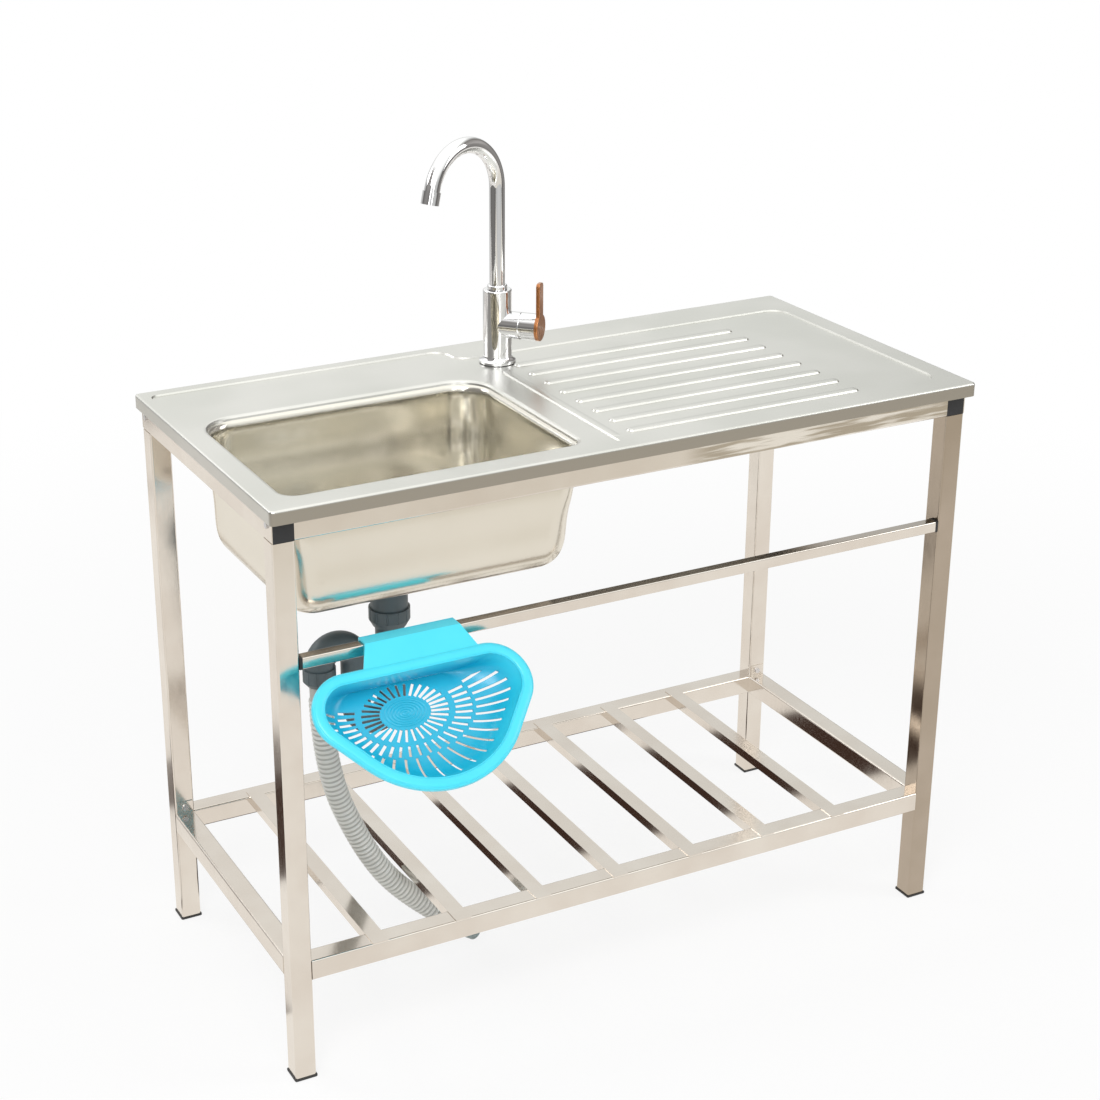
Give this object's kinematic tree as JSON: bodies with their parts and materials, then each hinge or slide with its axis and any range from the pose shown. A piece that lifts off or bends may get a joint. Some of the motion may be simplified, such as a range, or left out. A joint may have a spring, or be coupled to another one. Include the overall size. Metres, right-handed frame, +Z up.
{
  "type": "kitchen sink unit",
  "caption": "Free-standing steel kitchen sink unit: pressed worktop with bowl and drainer, tube frame with slatted shelf, swivel mixer tap, S-trap with hose, hook-on basket.",
  "frame": {"origin": "on the floor, under the middle of the space that the worktop and the basket in front of it take up", "axes": "+X to the right seen from the front, +Y to the back, +Z up"},
  "size_m": [1, 0.615, 1.1015],
  "materials": {
    "worktop_steel": "satin stainless steel sheet",
    "frame_steel": "bright polished stainless tube",
    "black_plastic": "moulded black",
    "screw_steel": "bright zinc",
    "tap_chrome": "mirror chrome",
    "lever_bronze": "gloss copper brown",
    "shank_brass": "machined",
    "drain_steel": "polished",
    "seal_rubber": "matt",
    "cartridge_plastic": "moulded",
    "trap_plastic": "moulded dark grey",
    "hose_plastic": "flexible, pale grey",
    "fitting_plastic": "moulded grey",
    "basket_plastic": "glossy cyan"
  },
  "bodies": {
    "frame": {"bowl": "worktop_steel", "bowl_seal": "seal_rubber", "cartridge": "cartridge_plastic", "cartridge_dome": "tap_chrome", "connector_screws": "screw_steel", "corner_connector_back_left": "black_plastic", "corner_connector_back_right": "black_plastic", "corner_connector_front_left": "black_plastic", "corner_connector_front_right": "black_plastic", "cross_rail": "frame_steel", "cross_rail_plug_left": "black_plastic", "cross_rail_plug_right": "black_plastic", "drain_hose": "hose_plastic", "foot_cap_back_left": "black_plastic", "foot_cap_back_right": "black_plastic", "foot_cap_front_left": "black_plastic", "foot_cap_front_right": "black_plastic", "hose_end_fitting": "fitting_plastic", "leg_back_left": "frame_steel", "leg_back_right": "frame_steel", "leg_front_left": "frame_steel", "leg_front_right": "frame_steel", "outlet_nut": "trap_plastic", "shelf_rail_back": "frame_steel", "shelf_rail_front": "frame_steel", "shelf_rail_left": "frame_steel", "shelf_rail_right": "frame_steel", "shelf_screws": "screw_steel", "shelf_slat_1": "frame_steel", "shelf_slat_2": "frame_steel", "shelf_slat_3": "frame_steel", "shelf_slat_4": "frame_steel", "shelf_slat_5": "frame_steel", "shelf_slat_6": "frame_steel", "shelf_slat_7": "frame_steel", "tap_base_ring": "tap_chrome", "tap_body": "tap_chrome", "tap_fixing_nut": "shank_brass", "tap_fixing_washer": "drain_steel", "tap_gasket": "seal_rubber", "tap_shank": "shank_brass", "trap_nut": "trap_plastic", "trap_seal": "seal_rubber", "trap_tube": "trap_plastic", "upper_rail_back": "frame_steel", "upper_rail_front": "frame_steel", "upper_rail_left": "frame_steel", "upper_rail_right": "frame_steel", "waste_body": "trap_plastic", "waste_flange": "drain_steel", "worktop": "worktop_steel"},
    "spout": {"spout_tube": "tap_chrome", "spout_collar": "tap_chrome", "aerator": "tap_chrome"},
    "lever_turn": {"cartridge_carrier": "cartridge_plastic"},
    "lever": {"lever_hub": "tap_chrome", "lever_paddle": "lever_bronze"},
    "strainer_plug": {"strainer_plug": "drain_steel"},
    "strainer_basket": {"strainer_basket": "basket_plastic"}
  },
  "joints": [
    {"name": "spout_swivel", "type": "hinge", "parent": "frame", "child": "spout", "pos_m": [-0.012, 0.2125, 0.886], "axis": [0, 0, 1], "continuous": true},
    {"name": "lever_mix", "type": "hinge", "parent": "frame", "child": "lever_turn", "pos_m": [-0.012, 0.2125, 0.837], "axis": [0.6871, -0.7266, 0], "range_deg": [-45, 45]},
    {"name": "lever_lift", "type": "hinge", "parent": "lever_turn", "child": "lever", "pos_m": [0.01136, 0.1878, 0.837], "axis": [0.7266, 0.6871, 0], "range_deg": [0, 20]},
    {"name": "plug_lift", "type": "slide", "parent": "frame", "child": "strainer_plug", "axis": [0, 0, 1], "range_m": [0, 0.05]},
    {"name": "basket_lift_off", "type": "slide", "parent": "frame", "child": "strainer_basket", "axis": [0, 0, 1], "range_m": [0, 0.06]}
  ]
}
